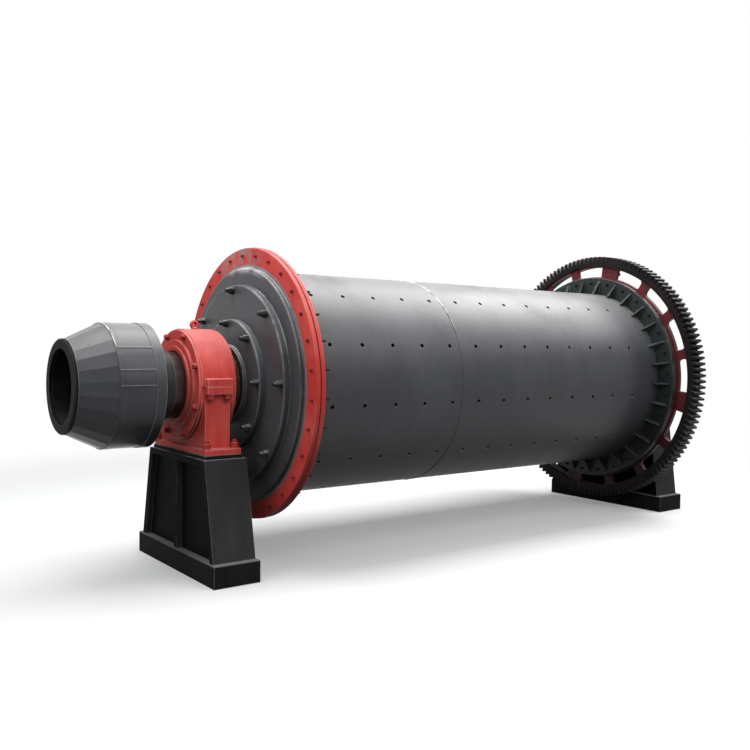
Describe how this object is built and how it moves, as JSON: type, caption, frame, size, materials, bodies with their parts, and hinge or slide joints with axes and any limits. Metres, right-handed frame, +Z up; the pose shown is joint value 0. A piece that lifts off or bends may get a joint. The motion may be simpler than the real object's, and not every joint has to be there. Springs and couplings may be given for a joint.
{
  "type": "ball mill",
  "caption": "Ball mill: a bolted steel drum on hollow trunnions in split roller-bearing housings on pedestals, with a drum feeder at one end and a girth gear at the other.",
  "frame": {"origin": "on the floor, under the middle of the machine's length, in the vertical plane of the mill axis", "axes": "+X along the mill axis from the feed end to the discharge end, +Z up, +Y away from the side that the picture shows"},
  "size_m": [5.555, 2.24, 2.328],
  "materials": {
    "grey_paint": "satin dark grey machine paint",
    "red_paint": "satin red machine paint",
    "black_paint": "matt black machine paint",
    "gear_steel": "dark oiled cast teeth",
    "machined_steel": "machined steel with a dull oil film",
    "bearing_steel": "ground bearing steel"
  },
  "bodies": {
    "root": {"feed_pedestal_base": "black_paint", "feed_pedestal": "black_paint", "feed_sole_plate": "black_paint", "feed_bearing_base": "red_paint", "feed_bearing_cap": "red_paint", "feed_roller_bearing": "bearing_steel", "feed_bearing_outer_cover": "red_paint", "feed_bearing_inner_cover": "red_paint", "discharge_pedestal_base": "black_paint", "discharge_pedestal": "black_paint", "discharge_sole_plate": "black_paint", "discharge_bearing_base": "red_paint", "discharge_bearing_cap": "red_paint", "discharge_roller_bearing": "bearing_steel", "discharge_bearing_outer_cover": "red_paint", "discharge_bearing_inner_cover": "red_paint"},
    "drum": {"feeder_mouth_ring": "grey_paint", "feeder_cone": "grey_paint", "feeder_drum": "grey_paint", "feeder_band": "grey_paint", "feeder_back_plate": "grey_paint", "feeder_neck": "grey_paint", "feed_trunnion": "machined_steel", "feed_head": "grey_paint", "feed_head_ring": "red_paint", "feed_shell_flange": "grey_paint", "feed_shell_course": "grey_paint", "discharge_shell_course": "grey_paint", "discharge_shell_flange": "grey_paint", "discharge_head_ring": "grey_paint", "discharge_head": "grey_paint", "discharge_trunnion": "machined_steel", "outlet_ring": "grey_paint", "gear_web_front": "red_paint", "gear_web_rear": "red_paint", "gear_rim_front": "gear_steel", "gear_rim_rear": "gear_steel"}
  },
  "joints": [
    {"name": "drum_spin", "type": "hinge", "parent": "root", "child": "drum", "pos_m": [0, 0, 1.208], "axis": [1, 0, 0], "continuous": true}
  ]
}
